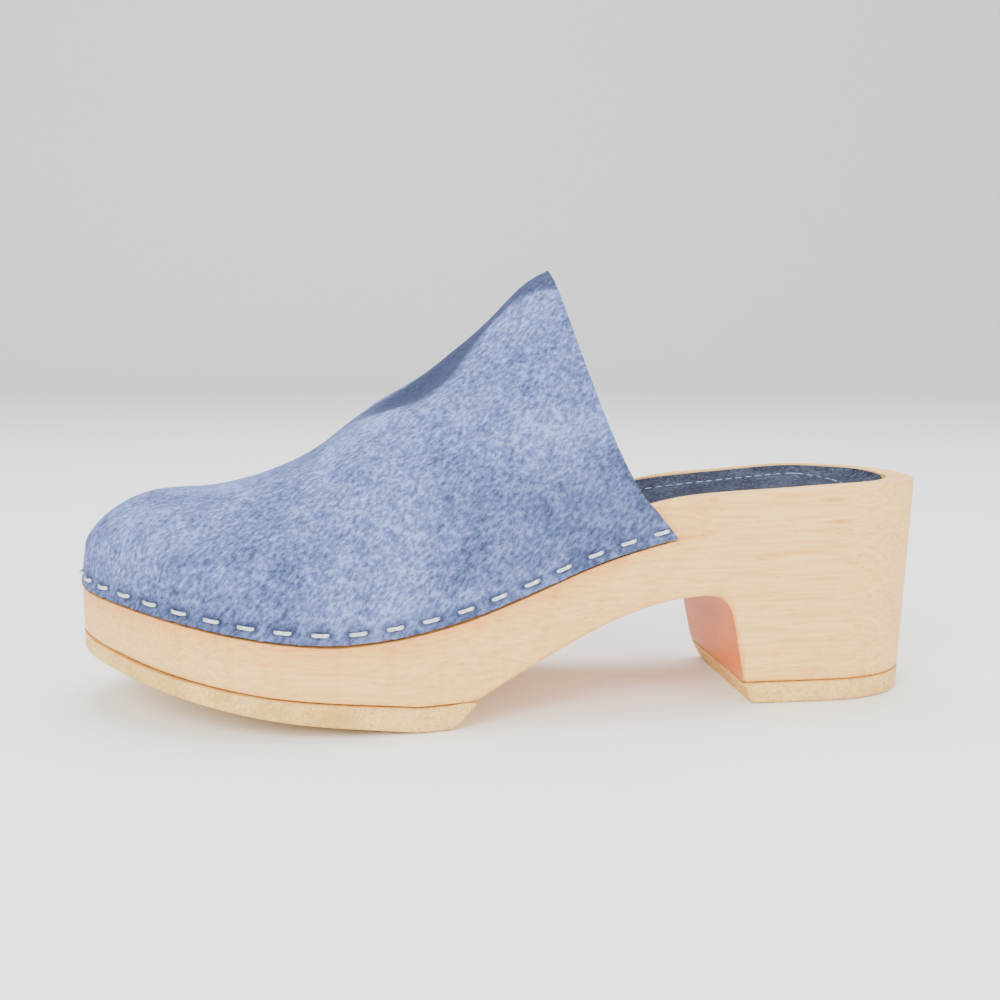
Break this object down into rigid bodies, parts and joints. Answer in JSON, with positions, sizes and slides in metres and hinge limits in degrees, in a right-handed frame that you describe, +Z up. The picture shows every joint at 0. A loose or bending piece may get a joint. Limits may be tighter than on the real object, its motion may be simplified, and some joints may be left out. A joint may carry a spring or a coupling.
{
  "type": "suede clog",
  "caption": "Backless clog with a wooden sole and block heel, rubber treads and a suede upper stapled round its edge.",
  "frame": {"origin": "on the floor, under the middle of the clog's bounding box", "axes": "+X towards the heel, toe at -X, +Y towards the inner side of the foot, +Z up"},
  "size_m": [0.2512, 0.0972, 0.1263],
  "materials": {
    "wood": "bare pale wood, finely sanded, with a satin seal",
    "tread_rubber": "honey rubber, finely pebbled",
    "lift_rubber": "honey rubber, finely pebbled",
    "insole_suede": "dark navy suede over thin foam",
    "upper_suede": "dusty blue-grey suede with a brushed nap",
    "staple_steel": "dull bright wire"
  },
  "bodies": {
    "root": {"wooden_sole": "wood", "forepart_tread": "tread_rubber", "heel_lift": "lift_rubber", "insole": "insole_suede", "suede_upper": "upper_suede", "staple_01": "staple_steel", "staple_02": "staple_steel", "staple_03": "staple_steel", "staple_04": "staple_steel", "staple_05": "staple_steel", "staple_06": "staple_steel", "staple_07": "staple_steel", "staple_08": "staple_steel", "staple_09": "staple_steel", "staple_10": "staple_steel", "staple_11": "staple_steel", "staple_12": "staple_steel", "staple_13": "staple_steel", "staple_14": "staple_steel", "staple_15": "staple_steel", "staple_16": "staple_steel", "staple_17": "staple_steel", "staple_18": "staple_steel", "staple_19": "staple_steel", "staple_20": "staple_steel", "staple_21": "staple_steel", "staple_22": "staple_steel", "staple_23": "staple_steel", "staple_24": "staple_steel", "staple_25": "staple_steel", "staple_26": "staple_steel", "staple_27": "staple_steel", "staple_28": "staple_steel", "staple_29": "staple_steel", "staple_30": "staple_steel", "staple_31": "staple_steel", "staple_32": "staple_steel", "staple_33": "staple_steel", "staple_34": "staple_steel", "staple_35": "staple_steel", "staple_36": "staple_steel", "staple_37": "staple_steel", "staple_38": "staple_steel", "staple_39": "staple_steel", "staple_40": "staple_steel"}
  },
  "joints": []
}
